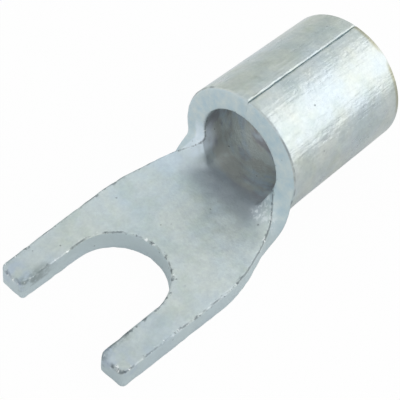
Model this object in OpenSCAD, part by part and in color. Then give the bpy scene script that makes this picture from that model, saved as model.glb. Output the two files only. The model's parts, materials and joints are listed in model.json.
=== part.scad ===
// Uninsulated fork terminal for a crimped wire, stamped and rolled from one tinned copper sheet.
// The origin is the stud's centre on the tongue's underside. The wire barrel points along +X, and +Z is up.
// The blank is cut flat, its neck is curled up, and its two wings are rolled until they butt along the top.

/* [Sheet] */
// Thickness of the sheet
sheet_t = 1; // [0.6:0.1:1.4]

/* [Fork] */
// Width of the slot between the prongs, for an M4 stud
slot_w = 4.2; // [3.2:0.1:5.4]
// Reach of the prongs in front of the stud's centre
prong_reach = 2.95; // [2:0.05:5]
// Width of each prong at its tip
prong_tip_w = 1.25; // [0.8:0.05:2]
// Width of the tongue beside the slot, at the shoulders
shoulder_margin = 1.45; // [1:0.05:2.2]
// Distance of the shoulders behind the stud's centre
shoulder_x = 3.35; // [2.8:0.05:4.5]
// Radius of the shoulders, seen from above
shoulder_r = 5; // [2:0.5:6]
// Radius of the prong tips' corners, seen from above
tip_corner_r = 0.2; // [0.1:0.05:0.35]
// Radius worn on the top edge of the prong tips
tip_edge_r = 0.25; // [0.1:0.05:0.4]

/* [Neck] */
// Length from the shoulders to the barrel's front rim
neck_len = 3.35; // [2.8:0.05:5]
// Width of the blank at its narrowest, just before the rim
neck_w = 5.7; // [4.4:0.05:6.4]
// Radius where the neck's edge sweeps up into the rim
neck_fillet_r = 0.5; // [0.3:0.05:0.9]
// Length over which the flat sheet curls into the barrel, most of it in the last third
curl_len = 1.7; // [1.3:0.1:2]
// Depth of the forming line where the curled sheet meets the barrel's rim
forming_line = 0.03; // [0.02:0.01:0.06]

/* [Barrel] */
// Diameter of the bore that takes the wire
bore_d = 4; // [3.2:0.1:5.4]
// Length of the barrel
barrel_len = 6.9; // [4:0.05:12]
// Chamfer round the outside of the wire end
end_chamfer = 0.2; // [0.05:0.05:0.3]
// Chamfer that leads the wire into the bore
lead_in = 0.15; // [0.05:0.05:0.3]
// Width of the groove left along the butted seam
seam_w = 0.3; // [0.15:0.05:0.6]

/* [Hidden] */
$fn = 96;
// How many steps the curled sheet is drawn in: across, along its straight edge, and round its fillet
curl_cols = 44;
edge_steps = 10;
fillet_steps = 12;
tin = "#c3cccd";
overlap = 1;

slot_r = slot_w/2;
tip_half = slot_r + prong_tip_w;
shoulder_half = slot_r + shoulder_margin;
rim_x = shoulder_x + neck_len;
barrel_r = bore_d/2 + sheet_t;
fold_r = bore_d/2 + sheet_t/2;
curl_x = rim_x - curl_len;

// The neck's edge is a straight line from the shoulder that runs on into a fillet against the rim.
fillet_c = [rim_x - neck_fillet_r, neck_w/2 + neck_fillet_r];
shoulder = [shoulder_x, shoulder_half];
to_fillet = fillet_c - shoulder;
edge_angle = atan2(to_fillet.y, to_fillet.x) - asin(neck_fillet_r/norm(to_fillet));
fillet_start = fillet_point(edge_angle);
prong_angle = atan2(shoulder_half - tip_half, shoulder_x + prong_reach);
curl_half = shoulder_half + (curl_x - shoulder_x)*tan(edge_angle);

function fillet_point(angle) = fillet_c + neck_fillet_r*[sin(angle), -cos(angle)];

// Eases the bend in from the flat and out into the round
function ease(f) = f*f*(3 - 2*f);

// Curvature of the sheet across the neck at x, in turns of its middle layer
function curl(x) = ease((max(x - curl_x, 0)/curl_len)^3)/fold_r;

// A point of the sheet: u is the width along the bent sheet, and side is -1 on its underside and 1 on its top.
// The sheet thins as it curls, so that it meets the barrel's rim within the wall.
function bent(x, u, side) =
    let (k = curl(x), rise = side*(sheet_t/2 - forming_line*k*fold_r))
    k < 0.000001
        ? [x, u, sheet_t/2 + rise]
        : let (r = 1/k - rise, turn = u*k*180/PI)
          [x, r*sin(turn), sheet_t/2 + 1/k - r*cos(turn)];

// Stations of the neck's edge, each the place along X and the half-width of the blank there.
// The first lies within the flat sheet, so that the tongue and the neck overlap.
edge_stations = concat(
    [[curl_x - sheet_t/2, curl_half - sheet_t/2]],
    [for (i = [0 : edge_steps - 1])
        [curl_x, curl_half] + i/edge_steps*(fillet_start - [curl_x, curl_half])],
    [for (i = [0 : fillet_steps])
        fillet_point(edge_angle + i/fillet_steps*(90 - edge_angle))]);

// Takes the sharp corner off an outline, as an arc that touches both of its sides
module round_corner(corner, toward_a, toward_b, r) {
    a = toward_a/norm(toward_a);
    b = toward_b/norm(toward_b);
    half_angle = acos(a*b)/2;
    reach = r/tan(half_angle);
    middle = (a + b)/norm(a + b)*r/sin(half_angle);
    difference() {
        children();
        difference() {
            polygon([corner - middle*0.1, corner + a*reach, corner + middle, corner + b*reach]);
            translate(corner + middle)
                circle(r);
        }
    }
}

// One half of the flat blank, from the prong's tip to where the sheet starts to curl
module half_blank() {
    tip = [-prong_reach, tip_half];
    along_prong = [cos(prong_angle), sin(prong_angle)];
    along_neck = [cos(edge_angle), sin(edge_angle)];
    round_corner(shoulder, -along_prong, along_neck, shoulder_r)
        round_corner(tip, along_prong, [0, -1], tip_corner_r)
            round_corner([-prong_reach, slot_r], [0, 1], [1, 0], tip_corner_r)
                difference() {
                    polygon([tip, shoulder, [curl_x, curl_half], [curl_x, 0], [-prong_reach, 0]]);
                    circle(slot_r);
                    translate([-prong_reach - overlap, -overlap])
                        square([prong_reach + overlap, slot_r + overlap]);
                }
}

// The prong tips are worn round along their top edge
module tip_wear() {
    rotate([90, 0, 0])
        linear_extrude(4*shoulder_half, center = true)
            translate([-prong_reach, sheet_t])
                difference() {
                    translate([-overlap, -tip_edge_r])
                        square([overlap + tip_edge_r, tip_edge_r + overlap]);
                    translate([tip_edge_r, -tip_edge_r])
                        circle(tip_edge_r);
                }
}

module tongue() {
    difference() {
        linear_extrude(sheet_t) {
            half_blank();
            mirror([0, 1]) half_blank();
        }
        tip_wear();
    }
}

// The neck: a loft of sheet sections that start flat and end on the barrel's round
module neck() {
    cols = curl_cols + 1;
    ring = 2*cols;
    points = [for (s = edge_stations) each concat(
        [for (j = [0 : curl_cols]) bent(s.x, s.y*(2*j/curl_cols - 1), -1)],
        [for (j = [curl_cols : -1 : 0]) bent(s.x, s.y*(2*j/curl_cols - 1), 1)])];
    last = len(edge_stations) - 1;
    sides = [for (i = [0 : last - 1], j = [0 : ring - 1])
        let (n = (j + 1) % ring)
        each [[i*ring + j, (i + 1)*ring + n, i*ring + n], [i*ring + j, (i + 1)*ring + j, (i + 1)*ring + n]]];
    caps = [for (j = [0 : curl_cols - 1])
        let (a = j, b = j + 1, c = ring - 2 - j, d = ring - 1 - j, e = last*ring)
        each [[a, b, c], [a, c, d], [e + a, e + c, e + b], [e + a, e + d, e + c]]];
    polyhedron(points, concat(sides, caps));
}

module barrel() {
    difference() {
        translate([rim_x, 0, barrel_r])
            rotate([0, 90, 0])
                rotate_extrude()
                    polygon([
                        [bore_d/2, 0],
                        [barrel_r, 0],
                        [barrel_r, barrel_len - end_chamfer],
                        [barrel_r - end_chamfer, barrel_len],
                        [bore_d/2 + lead_in, barrel_len],
                        [bore_d/2, barrel_len - lead_in]]);
        seam();
    }
}

// The two wings' rounded edges leave a shallow groove where they butt along the barrel's top
module seam() {
    translate([rim_x - overlap, 0, 2*barrel_r])
        rotate([45, 0, 0])
            translate([0, -seam_w/sqrt(8), -seam_w/sqrt(8)])
                cube([barrel_len + 2*overlap, seam_w/sqrt(2), seam_w/sqrt(2)]);
}

module fork_terminal() {
    color(tin)
        union() {
            tongue();
            neck();
            barrel();
        }
}

fork_terminal();
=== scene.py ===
import json
from math import asin, atan2, ceil, cos, hypot, pi, radians, sin, sqrt, tan

import bmesh
import bpy
from mathutils import Matrix, Vector, kdtree, noise


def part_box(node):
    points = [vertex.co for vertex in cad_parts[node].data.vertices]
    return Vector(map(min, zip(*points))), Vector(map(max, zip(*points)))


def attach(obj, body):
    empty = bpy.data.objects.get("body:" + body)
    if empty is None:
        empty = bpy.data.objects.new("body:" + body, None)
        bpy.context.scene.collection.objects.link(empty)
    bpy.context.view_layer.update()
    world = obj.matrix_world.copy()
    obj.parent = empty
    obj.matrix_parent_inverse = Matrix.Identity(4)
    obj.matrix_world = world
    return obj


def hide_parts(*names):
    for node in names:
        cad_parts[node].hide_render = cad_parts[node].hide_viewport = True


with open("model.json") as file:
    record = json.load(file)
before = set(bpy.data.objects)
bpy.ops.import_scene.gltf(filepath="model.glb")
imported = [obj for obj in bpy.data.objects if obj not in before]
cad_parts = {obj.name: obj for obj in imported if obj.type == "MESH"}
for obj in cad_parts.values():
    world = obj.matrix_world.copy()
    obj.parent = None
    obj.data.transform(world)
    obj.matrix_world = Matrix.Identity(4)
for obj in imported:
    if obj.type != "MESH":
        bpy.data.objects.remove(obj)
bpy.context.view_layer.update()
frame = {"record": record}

# The blank: a flat piece of 1 mm copper sheet, stamped in one stroke with the fork, the neck and two wide
# wings. The punch leaves its cut edges a little round, and the prongs' tips are worn down on top.
mm = 0.001
mounts = {mount["name"]: mount for mount in frame["record"]["mounts"]}
sheet = mounts["tongue_top"]["pos_m"][2]
slot_r = mounts["stud_slot"]["dims"]["r_mm"]*mm
bore_r = mounts["wire_barrel"]["dims"]["r_mm"]*mm
tip_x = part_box("fork_terminal")[0].x
back_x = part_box("fork_terminal")[1].x
fold_r = bore_r + sheet/2
tip_half = slot_r + 1.25*mm
tip_reach = 0.2*mm
shoulder_x = 3.35*mm
shoulder_half = slot_r + 1.45*mm
shoulder_reach = 0.9*mm
seam_x = 6.7*mm
seam_gap = 0.004*mm
wing_half = pi*fold_r - seam_gap/2
cut_edge_r = 0.07*mm
mesh_step = 0.11*mm


def neck_corner(rim, narrowest, fillet_r):
    along, out = rim - fillet_r - shoulder_x, narrowest + fillet_r - shoulder_half
    taper = atan2(out, along) - asin(fillet_r/hypot(along, out))
    return (rim, shoulder_half + (rim - shoulder_x)*tan(taper)), fillet_r*tan(pi/4 - taper/2)


right_rim, left_rim = 6.56*mm, 6.89*mm
right_neck, right_reach = neck_corner(right_rim, 2.88*mm, 0.94*mm)
left_neck, left_reach = neck_corner(left_rim, 3.02*mm, 0.28*mm)
right_neck = (right_rim, -right_neck[1])
tips = [(tip_x, -tip_half), (tip_x, tip_half), (tip_x, slot_r), (tip_x, -slot_r)]
shoulders = [(shoulder_x, -shoulder_half), (shoulder_x, shoulder_half)]
slot_corners = [(slot_r, slot_r), (slot_r, -slot_r)]
outline = [tips[0], shoulders[0], right_neck, (seam_x, -wing_half), (back_x, -wing_half),
           (back_x, wing_half), (seam_x, wing_half), left_neck, shoulders[1], tips[1],
           tips[2], slot_corners[0], slot_corners[1], tips[3]]
bpy.ops.object.select_all(action="DESELECT")
bpy.ops.mesh.primitive_circle_add(vertices=len(outline), radius=back_x, fill_type="NGON")
terminal = bpy.context.object
terminal.name = terminal.data.name = "fork_terminal_sheet"
for corner, (x, u) in zip(terminal.data.vertices, outline):
    corner.co = (x, u, 0)

bpy.ops.object.mode_set(mode="EDIT")
bpy.ops.mesh.select_mode(type="VERT")


def round_corners(places, reach, steps):
    blank = bmesh.from_edit_mesh(terminal.data)
    for corner in blank.verts:
        corner.select_set(any((corner.co.xy - Vector(place)).length < 0.001*mm for place in places))
    blank.select_flush(True)
    bmesh.update_edit_mesh(terminal.data)
    bpy.ops.mesh.bevel(offset=reach, segments=steps, affect="VERTICES", clamp_overlap=True)


round_corners(shoulders, shoulder_reach, 8)
round_corners([right_neck], right_reach, 14)
round_corners([left_neck], left_reach, 14)
round_corners(slot_corners, slot_r, 24)
round_corners(tips, tip_reach, 5)
bpy.ops.mesh.select_all(action="SELECT")
bpy.ops.mesh.remove_doubles(threshold=0.002*mm)
bpy.ops.mesh.extrude_region_move(TRANSFORM_OT_translate={"value": (0, 0, sheet)})
bpy.ops.mesh.select_all(action="SELECT")
bpy.ops.mesh.normals_make_consistent(inside=False)

bpy.ops.mesh.select_mode(type="EDGE")
bpy.ops.mesh.select_all(action="DESELECT")
blank = bmesh.from_edit_mesh(terminal.data)
for edge in blank.edges:
    edge.select_set(abs(edge.verts[0].co.z - edge.verts[1].co.z) < 0.001*mm)
bmesh.update_edit_mesh(terminal.data)
bpy.ops.mesh.bevel(offset=cut_edge_r, segments=3, affect="EDGES", clamp_overlap=False)


def slice_blank(first, last, step, along):
    for i in range(ceil((last - first)/step)):
        bpy.ops.mesh.select_all(action="SELECT")
        bpy.ops.mesh.bisect(plane_co=(first + i*step)*Vector(along), plane_no=along, threshold=0.0001*mm)


slice_blank(tip_x + 0.02*mm, tip_x + 0.4*mm, 0.04*mm, (1, 0, 0))
slice_blank(tip_x + 0.4*mm, back_x - 0.4*mm, mesh_step, (1, 0, 0))
slice_blank(back_x - 0.4*mm, back_x, 0.04*mm, (1, 0, 0))
slice_blank(-wing_half + 0.02*mm, -wing_half + 0.3*mm, 0.04*mm, (0, 1, 0))
slice_blank(-wing_half + 0.3*mm, wing_half - 0.3*mm, mesh_step, (0, 1, 0))
slice_blank(wing_half - 0.3*mm, wing_half, 0.04*mm, (0, 1, 0))
slice_blank(0.25*sheet, sheet, 0.25*sheet, (0, 0, 1))
bpy.ops.object.mode_set(mode="OBJECT")

# The curl and the roll: the wings are rolled over a mandrel until they butt along the top, and the neck
# between the flat tongue and the round barrel follows them up. The wire end is chamfered inside and out.
tip_edge_r = 0.25*mm
end_chamfer = 0.2*mm
lead_in = 0.15*mm
seam_half = 0.07*mm
right_curl = (5.0*mm, 6.6*mm)
left_curl = (5.0*mm, 6.66*mm)
floor_share = 0.25
floor_half = 1.1*mm
side_w = 1.8*mm
round_len = 2.0*mm
wave = 0.012*mm
nibble = 0.03*mm
hair = 0.0001*mm


def planished(x, u, z):
    under, over = 0, sheet
    worn = tip_edge_r - (x - tip_x)
    if worn > 0:
        over -= tip_edge_r - sqrt(max(tip_edge_r**2 - worn**2, 0))
    under += max(end_chamfer - (back_x - x), 0)
    over -= max(lead_in - (back_x - x), 0)
    worn_seam = seam_half*(0.65 + 0.7*noise.noise(Vector((x/mm*0.9, 0.5 if u < 0 else 4.5, 0))))
    rounded = worn_seam - (wing_half - abs(u))
    if rounded > 0:
        under += worn_seam - sqrt(max(worn_seam**2 - rounded**2, 0))
    if x > right_curl[1]:
        under += wave*(0.5 + 0.5*noise.noise(Vector((x, u, 0))/(1.1*mm)))
    return under + (over - under)*z/sheet


def ease(share):
    share = min(max(share, 0), 1)
    return share*share*(3 - 2*share)


def middle_layer(x, u):
    start, rim = right_curl if u < 0 else left_curl
    folded = floor_share + (1 - floor_share)*ease((abs(u) - floor_half)/side_w)
    curled = folded*min(max((x - start)/(rim - start), 0), 1)**3 + (1 - folded)*ease((x - rim)/round_len)
    across = u + curled*(fold_r*sin(u/fold_r) - u)
    return Vector((x, across, sheet/2 + curled*fold_r*(1 - cos(u/fold_r))))


def rolled(x, u, z):
    nudge = 0.002*mm
    across = middle_layer(x, u + nudge) - middle_layer(x, u - nudge)
    return middle_layer(x, u) + (z - sheet/2)*Vector((0, -across.z, across.y)).normalized()


cut_walls = kdtree.KDTree(len(terminal.data.vertices))
for point in terminal.data.vertices:
    if hair < point.co.z < sheet - hair:
        cut_walls.insert((point.co.x, point.co.y, 0), point.index)
cut_walls.balance()
terminal.data.attributes.new("blank_mm", "FLOAT_VECTOR", "POINT")
terminal.data.attributes.new("from_edge_mm", "FLOAT", "POINT")
blank_mm = terminal.data.attributes["blank_mm"]
from_edge = terminal.data.attributes["from_edge_mm"]
flat_points = [(point.co.copy(), point.normal.copy()) for point in terminal.data.vertices]
marks = zip(blank_mm.data, from_edge.data)
for point, (flat, facing), (drawn, gap) in zip(terminal.data.vertices, flat_points, marks):
    x, u, z = flat
    drawn.vector = flat/mm
    gap.value = cut_walls.find((x, u, 0))[2]/mm
    depth = min(z, sheet - z)
    if depth > hair:
        gap.value = -depth/mm
        bite = nibble*max(noise.noise(flat/(0.35*mm)) + 0.15, 0)*(1 - 0.6*min(depth/(0.3*mm), 1))
        x, u, z = flat - bite*facing
    point.co = rolled(x, u, planished(x, u, z))
bpy.ops.object.mode_set(mode="EDIT")
bpy.ops.mesh.select_all(action="SELECT")
bpy.ops.mesh.normals_make_consistent(inside=False)
bpy.ops.object.mode_set(mode="OBJECT")
bpy.ops.object.shade_smooth_by_angle(angle=radians(40))

# The skin: satin tin plated over the copper, cloudy and speckled from handling. The rolled barrel is smoother
# and scuffed along its length, its bore is stained, and the stamped edges keep burrs and grime. Light and
# shade
# are painted into the colour too: the tongue lighter towards the neck, a shade pool before the bore, a shade
# line on the neck's right edge, and painted highlights on the left ear, the right neck and as glints along
# the edges.
tin = bpy.data.materials.new("satin_tin")
tin.use_nodes = True
tin_nodes, tin_links = tin.node_tree.nodes, tin.node_tree.links
skin = tin_nodes["Principled BSDF"]


def tin_node(kind, wires, **settings):
    step = tin_nodes.new("ShaderNode" + kind)
    for name, value in settings.items():
        setattr(step, name, value)
    for socket, value in wires.items():
        if isinstance(value, bpy.types.NodeSocket):
            tin_links.new(value, step.inputs[socket])
        else:
            step.inputs[socket].default_value = value
    return next(socket for socket in step.outputs if socket.enabled)


def times(first, second):
    return tin_node("Math", {0: first, 1: second}, operation="MULTIPLY")


def plus(first, second):
    return tin_node("Math", {0: first, 1: second}, operation="ADD")


def minus(first, second):
    return tin_node("Math", {0: first, 1: second}, operation="SUBTRACT")


def size_of(value):
    return tin_node("Math", {0: value}, operation="ABSOLUTE")


def shifted(place, by):
    return tin_node("VectorMath", {0: place, 1: by}, operation="ADD")


def stretched(place, by):
    return tin_node("VectorMath", {0: place, 1: by}, operation="MULTIPLY")


def ranged(value, low, high):
    return tin_node("MapRange", {"Value": value, "To Min": low, "To Max": high})


def between(value, low, high):
    limits = {"Value": value, "From Min": low, "From Max": high}
    return tin_node("MapRange", limits, interpolation_type="SMOOTHSTEP")


def window(value, rise, full, fade, gone):
    return times(between(value, rise, full), between(value, gone, fade))


def spots(place, scale, detail, low, high):
    cloud = tin_node("TexNoise", {"Vector": place, "Scale": scale, "Detail": detail, "Roughness": 0.6})
    return tin_node("MapRange", {"Value": cloud, "From Min": low, "From Max": high})


def tinted(share, under, over, blend="MIX"):
    tin_node("Mix", {0: share, 6: under, 7: over}, data_type="RGBA", blend_type=blend)
    return tin_nodes[-1].outputs[2]


def toned(under, tone):
    return tinted(1.0, under, tone, "MULTIPLY")


place = stretched(tin_nodes.new("ShaderNodeTexCoord").outputs["Object"], (1000, 1000, 1000))
blank_place = tin_nodes.new("ShaderNodeAttribute")
blank_place.attribute_name = "blank_mm"
blank_place = blank_place.outputs["Vector"]
tin_node("SeparateXYZ", {0: blank_place})
blank_x, blank_u, blank_z = tin_nodes[-1].outputs
half_u = size_of(blank_u)
edge_gap = tin_nodes.new("ShaderNodeAttribute")
edge_gap.attribute_name = "from_edge_mm"
edge_gap = edge_gap.outputs["Fac"]

barrel_part = between(blank_x, 6.0, 6.9)
top_side = between(blank_z, 0.4, 0.6)
inside = times(between(blank_x, 6.5, 7.4), between(blank_z, 0.85, 0.95))
outside = times(barrel_part, between(blank_z, 0.15, 0.05))
cut_wall = between(edge_gap, -0.02, -0.09)
rim_face = times(cut_wall, between(blank_x, 6.1, 6.5))
at_edge = between(size_of(edge_gap), 0.15, 0.02)
on_edge = between(size_of(edge_gap), 0.06, 0.01)
top_edge = times(at_edge, top_side)

cloudy = spots(place, 0.5, 3, 0.36, 0.64)
mottle = spots(place, 2.2, 4, 0.32, 0.68)
speckle = spots(place, 7, 3, 0.3, 0.7)
colour = tinted(cloudy, (0.560, 0.645, 0.700, 1), (0.640, 0.695, 0.685, 1))
# Painted light: the tongue's top is painted darker at the prongs and lighter towards the neck, standing in
# for how the light falls along it.
painted_light_prong_to_neck = {"Value": blank_x, "From Min": -2, "From Max": 5.5, "To Min": 0.90, "To Max": 1.10}
along = tin_node("MapRange", painted_light_prong_to_neck)
painted_light_tone = tin_node("CombineColor", {0: along, 1: along, 2: along})
tongue_top = times(top_side, between(blank_x, 6.8, 6.2))
colour = tinted(tongue_top, colour, toned(colour, painted_light_tone))
colour = tinted(outside, colour, toned(colour, (0.935, 0.925, 0.900, 1)))
patina = spots(shifted(place, (11, 2, 6)), 0.9, 4, 0.46, 0.62)
colour = tinted(times(patina, 0.75), colour, toned(colour, (0.90, 0.92, 0.88, 1)))
colour = tinted(mottle, toned(colour, (0.93, 0.935, 0.95, 1)), toned(colour, (1.05, 1.05, 1.04, 1)))
colour = tinted(0.55, colour, tinted(speckle, (0.90, 0.90, 0.92, 1), (1.08, 1.08, 1.06, 1)), "MULTIPLY")
colour = tinted(times(cut_wall, 0.75), colour, (0.57, 0.66, 0.69, 1))
rim_colour = tinted(mottle, (0.50, 0.63, 0.70, 1), (0.68, 0.75, 0.75, 1))
colour = tinted(times(rim_face, 0.9), colour, rim_colour)

colour = tinted(times(inside, 0.65), colour, (0.60, 0.68, 0.75, 1))
# Painted shade: a dark bluish pool on the neck's floor in front of the bore, standing in for the shade and
# mirror image of the bore's opening.
wander = plus(blank_x, times(cloudy, 0.5))
painted_scoop_shade = times(between(wander, 5.5, 6.6), between(half_u, 3.2, 1.6))
painted_scoop_shade = times(painted_scoop_shade, times(top_side, between(blank_x, 7.4, 6.7)))
colour = tinted(times(painted_scoop_shade, 0.62), colour, (0.39, 0.44, 0.51, 1))
wiped = stretched(blank_place, (1.5, 0.55, 1))
stain = times(inside, spots(wiped, 0.8, 3, 0.46, 0.57))
colour = tinted(times(stain, 0.62), colour, (0.36, 0.32, 0.34, 1))
bloom = times(inside, spots(shifted(wiped, (3, 8, 1)), 0.8, 3, 0.48, 0.57))
colour = tinted(times(bloom, 0.6), colour, (0.67, 0.70, 0.64, 1))
# Painted highlight: a bright bluish patch on top of the left wing's curl beside the rim, also made less
# metallic there.
painted_ear_highlight = times(window(blank_x, 6.1, 6.5, 7.1, 7.7), window(blank_u, 2.2, 2.7, 3.4, 4.2))
painted_ear_highlight = times(painted_ear_highlight, times(top_side, ranged(mottle, 0.5, 1.0)))
colour = tinted(times(painted_ear_highlight, 0.85), colour, (0.80, 0.88, 0.97, 1))

pits = tin_node("TexVoronoi", {"Vector": place, "Scale": 1.7, "Randomness": 1.0}, feature="F1")
pits = times(between(pits, 0.09, 0.04), spots(place, 0.8, 1, 0.46, 0.54))
colour = tinted(times(pits, 0.5), colour, (0.12, 0.14, 0.15, 1))
burrs = times(top_edge, spots(place, 4.5, 4, 0.56, 0.64))
colour = tinted(times(burrs, 0.65), colour, (0.13, 0.16, 0.18, 1))
# Grime in spots along the cut edges, thinner at the seam; along the neck's right top edge the dark line is
# painted shade that hides the rounded edge's highlight.
painted_neck_edge_shade = times(window(blank_x, 3.4, 4.0, 6.3, 6.7), times(top_side, between(blank_u, -1.8, -2.2)))
edge_grime_and_shade = tin_node("Math", {0: spots(place, 1.4, 3, 0.42, 0.58), 1: painted_neck_edge_shade}, operation="MAXIMUM")
off_seam = {"Value": half_u, "From Min": 6.6, "From Max": 7.2, "To Min": 1.0, "To Max": 0.25}
edge_grime_and_shade = times(times(on_edge, edge_grime_and_shade), tin_node("MapRange", off_seam))
colour = tinted(times(edge_grime_and_shade, 0.65), colour, (0.16, 0.19, 0.21, 1))
# Painted highlight: bright glints in spots along the top edges, where the roughness is also lowered.
painted_edge_glints = times(top_edge, spots(shifted(place, (7, 3, 5)), 5, 3, 0.6, 0.66))
colour = tinted(times(painted_edge_glints, 0.8), colour, (0.92, 0.95, 0.95, 1))
# Painted highlight: a bright speckled patch on the right side of the neck just before the rim.
painted_sparkle_highlight = times(window(blank_x, 5.9, 6.2, 6.7, 7.0), window(blank_u, -3.4, -2.8, -1.8, -1.3))
painted_sparkle_highlight = times(times(painted_sparkle_highlight, top_side), spots(place, 5.5, 3, 0.50, 0.60))
colour = tinted(times(painted_sparkle_highlight, 0.7), colour, (0.86, 0.90, 0.92, 1))

tip_top = times(top_side, between(blank_x, -2.0, -2.5))
bluing = times(tip_top, spots(shifted(place, (2, 9, 4)), 1.4, 2, 0.42, 0.58))
colour = tinted(times(bluing, 0.5), colour, (0.44, 0.52, 0.64, 1))
inner_tip = times(times(top_side, between(blank_x, -1.0, -2.2)), between(half_u, 2.55, 2.2))
smudge = times(inner_tip, spots(place, 2.6, 3, 0.40, 0.56))
colour = tinted(times(smudge, 0.7), colour, (0.26, 0.31, 0.31, 1))
tarnish = times(between(blank_x, 13.15, 13.35), spots(place, 0.7, 2, 0.38, 0.5))
tarnish = times(times(tarnish, between(blank_u, -3.6, -4.6)), between(blank_z, 0.4, 0.2))
colour = tinted(times(tarnish, 0.75), colour, (0.34, 0.33, 0.22, 1))
tin_links.new(colour, skin.inputs["Base Color"])

metal = minus(ranged(barrel_part, 0.90, 0.97), times(rim_face, 0.6))
metal = tin_node("Math", {0: metal, 1: times(painted_ear_highlight, 0.6)}, operation="SUBTRACT", use_clamp=True)
tin_links.new(metal, skin.inputs["Metallic"])

scuffs = times(outside, spots(stretched(blank_place, (0.5, 7, 1)), 1.0, 4, 0.4, 0.7))
satin = minus(ranged(cloudy, 0.46, 0.54), times(outside, 0.24))
satin = plus(satin, times(scuffs, 0.08))
satin = plus(satin, times(mottle, 0.12))
satin = plus(satin, times(edge_grime_and_shade, 0.15))
satin = minus(satin, times(painted_edge_glints, 0.2))
tin_links.new(satin, skin.inputs["Roughness"])

grain = plus(times(mottle, 0.6), times(speckle, 0.2))
grain = plus(grain, times(scuffs, 0.5))
grain = plus(grain, times(outside, spots(place, 1.1, 3, 0.3, 0.7)))
grain = minus(grain, times(pits, 0.8))
grain = minus(grain, times(burrs, 0.8))
relief = tin_node("Bump", {"Height": grain, "Strength": 0.9, "Distance": 0.016*mm})
tin_links.new(relief, skin.inputs["Normal"])
terminal.data.materials.append(tin)
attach(terminal, "root")
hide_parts("fork_terminal")

# The table: a plain sheet of paper that the terminal lies on. The camera sees it white, with a faint shadow,
# and in mirrored rays it is whiter towards the far left.
bpy.ops.mesh.primitive_plane_add(size=2, location=(0, 0, -0.002*mm))
table = bpy.context.object
table.name = "table"
paper = bpy.data.materials.new("white_paper")
paper.use_nodes = True
paper_nodes, paper_links = paper.node_tree.nodes, paper.node_tree.links
matt = paper_nodes["Principled BSDF"]
matt.inputs["Base Color"].default_value = (0.66, 0.66, 0.66, 1)
matt.inputs["Roughness"].default_value = 0.9
rays = paper_nodes.new("ShaderNodeLightPath")
mirrored = paper_nodes.new("ShaderNodeMath")
mirrored.operation = "MAXIMUM"
paper_links.new(rays.outputs["Is Glossy Ray"], mirrored.inputs[0])
paper_links.new(rays.outputs["Is Transmission Ray"], mirrored.inputs[1])
table_place = paper_nodes.new("ShaderNodeTexCoord")
across_table = paper_nodes.new("ShaderNodeSeparateXYZ")
paper_links.new(table_place.outputs["Object"], across_table.inputs[0])
whiter = paper_nodes.new("ShaderNodeMapRange")
whiter.inputs["From Min"].default_value = 0
whiter.inputs["From Max"].default_value = 6*mm
whiter.inputs["To Min"].default_value = 0.2
whiter.inputs["To Max"].default_value = 0.9
paper_links.new(across_table.outputs["Y"], whiter.inputs["Value"])
direct = paper_nodes.new("ShaderNodeMath")
direct.operation = "MULTIPLY"
direct.inputs[1].default_value = 0.97
paper_links.new(rays.outputs["Is Camera Ray"], direct.inputs[0])
white_share = paper_nodes.new("ShaderNodeMath")
white_share.operation = "MULTIPLY_ADD"
paper_links.new(mirrored.outputs[0], white_share.inputs[0])
paper_links.new(whiter.outputs["Result"], white_share.inputs[1])
paper_links.new(direct.outputs[0], white_share.inputs[2])
glow = paper_nodes.new("ShaderNodeEmission")
whitened = paper_nodes.new("ShaderNodeMixShader")
paper_links.new(white_share.outputs[0], whitened.inputs[0])
paper_links.new(matt.outputs[0], whitened.inputs[1])
paper_links.new(glow.outputs[0], whitened.inputs[2])
paper_links.new(whitened.outputs[0], paper_nodes["Material Output"].inputs["Surface"])
table.data.materials.append(paper)

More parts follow.
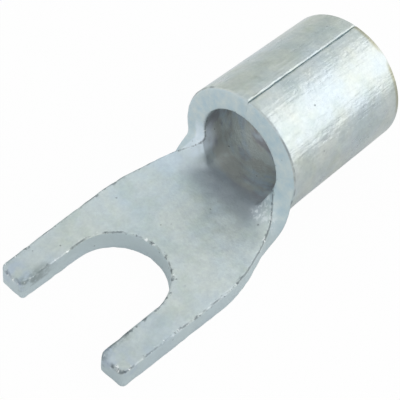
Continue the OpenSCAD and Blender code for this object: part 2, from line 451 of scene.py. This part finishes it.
# The studio: a white tent that falls off towards the far left, and one tall softbox to the right, a little
# warmer than the tent.
tent = bpy.data.worlds.new("white_tent")
bpy.context.scene.world = tent
tent.use_nodes = True
tent_nodes, tent_links = tent.node_tree.nodes, tent.node_tree.links
toward = tent_nodes.new("ShaderNodeTexCoord")
far_left = tent_nodes.new("ShaderNodeVectorMath")
far_left.operation = "DOT_PRODUCT"
far_left.inputs[1].default_value = Vector((0.5, 0.85, 0.05)).normalized()
tent_links.new(toward.outputs["Generated"], far_left.inputs[0])
fall_off = tent_nodes.new("ShaderNodeMapRange")
fall_off.interpolation_type = "SMOOTHSTEP"
fall_off.inputs["From Min"].default_value = 0.70
fall_off.inputs["From Max"].default_value = 0.98
tent_links.new(far_left.outputs["Value"], fall_off.inputs["Value"])
cloth = tent_nodes.new("ShaderNodeMix")
cloth.data_type = "RGBA"
cloth.inputs[6].default_value = (0.98, 1.0, 1.0, 1)
cloth.inputs[7].default_value = (0.66, 0.70, 0.66, 1)
tent_links.new(fall_off.outputs["Result"], cloth.inputs[0])
tent_links.new(cloth.outputs[2], tent_nodes["Background"].inputs["Color"])
tent_nodes["Background"].inputs["Strength"].default_value = 0.95

softbox = bpy.data.lights.new("right_softbox", "AREA")
softbox.shape = "RECTANGLE"
softbox.size, softbox.size_y = 0.36, 0.28
softbox.energy = 0.265
softbox.color = (1.0, 0.94, 0.92)
stand = bpy.data.objects.new("right_softbox", softbox)
bpy.context.scene.collection.objects.link(stand)
stand.location = (0.19, -0.165, 0.165)
to_barrel = Vector((0.010, 0, 0.003)) - stand.location
stand.rotation_euler = to_barrel.to_track_quat("-Z", "Y").to_euler()

# The camera: a long lens close to the table, turned a little so that the terminal runs corner to corner.
azimuth, elevation, tilt = radians(-53.833), radians(49.253), radians(8.902)
distance = 46.059*mm
aim = Vector((3.79, -0.593, 3.0))*mm
back = Vector((sin(azimuth)*cos(elevation), -cos(azimuth)*cos(elevation), sin(elevation)))
level = Vector((0, 0, 1)).cross(back).normalized()
upright = back.cross(level)
right = cos(tilt)*level + sin(tilt)*upright
up = cos(tilt)*upright - sin(tilt)*level
lens = bpy.data.cameras.new("camera")
lens.sensor_width = 36
lens.lens = 36*1190.738/400
lens.clip_start, lens.clip_end = 0.001, 10
camera = bpy.data.objects.new("camera", lens)
bpy.context.scene.collection.objects.link(camera)
turned = Matrix((right, up, back)).transposed().to_4x4()
camera.matrix_world = Matrix.Translation(aim + distance*back) @ turned
bpy.context.scene.camera = camera
bpy.context.scene.view_settings.view_transform = "Standard"
